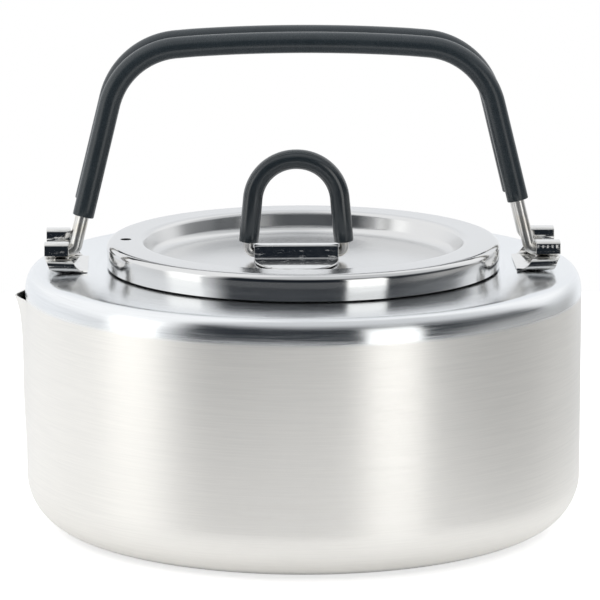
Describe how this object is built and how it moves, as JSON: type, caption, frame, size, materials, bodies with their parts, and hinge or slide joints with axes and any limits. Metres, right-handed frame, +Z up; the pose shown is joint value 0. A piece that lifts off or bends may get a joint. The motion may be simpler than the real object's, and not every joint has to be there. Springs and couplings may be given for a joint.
{
  "type": "camping kettle",
  "caption": "Squat round camping kettle with a pressed pouring lip, a lift-off lid with a folding ring, and folding sleeved wire bails.",
  "frame": {"origin": "centre of the flat base, on the surface the kettle stands on", "axes": "+Z up along the pot's axis, the pouring lip points to -X, the bails pivot about lines along X"},
  "size_m": [0.1529, 0.15, 0.134],
  "materials": {
    "pot_steel": "fine horizontal brushing on the wall, polished shoulder and lid",
    "bracket_steel": "polished",
    "wire_steel": "drawn wire, bright",
    "sleeve_rubber": "satin"
  },
  "bodies": {
    "kettle": {"kettle_body": "pot_steel", "left_bracket": "bracket_steel", "right_bracket": "bracket_steel"},
    "lid": {"lid": "pot_steel", "lid_clip": "bracket_steel"},
    "lid_ring": {"lid_ring_wire": "wire_steel", "lid_ring_sleeve": "sleeve_rubber"},
    "front_bail": {"front_bail_wire": "wire_steel", "front_bail_sleeve": "sleeve_rubber"},
    "rear_bail": {"rear_bail_wire": "wire_steel", "rear_bail_sleeve": "sleeve_rubber"}
  },
  "joints": [
    {"name": "lid_lift", "type": "slide", "parent": "kettle", "child": "lid", "axis": [0, 0, 1], "range_m": [0, 0.019]},
    {"name": "ring_fold", "type": "hinge", "parent": "lid", "child": "lid_ring", "pos_m": [-0.0019, 0, 0.0731], "axis": [1, 0, 0], "range_deg": [-70, 70]},
    {"name": "front_bail_fold", "type": "hinge", "parent": "kettle", "child": "front_bail", "pos_m": [-0.0005, -0.0106, 0.0757], "axis": [1, 0, 0], "range_deg": [-3.8, 97]},
    {"name": "rear_bail_fold", "type": "hinge", "parent": "kettle", "child": "rear_bail", "pos_m": [-0.00055, 0.0106, 0.0757], "axis": [1, 0, 0], "range_deg": [-97, 3.8]}
  ]
}
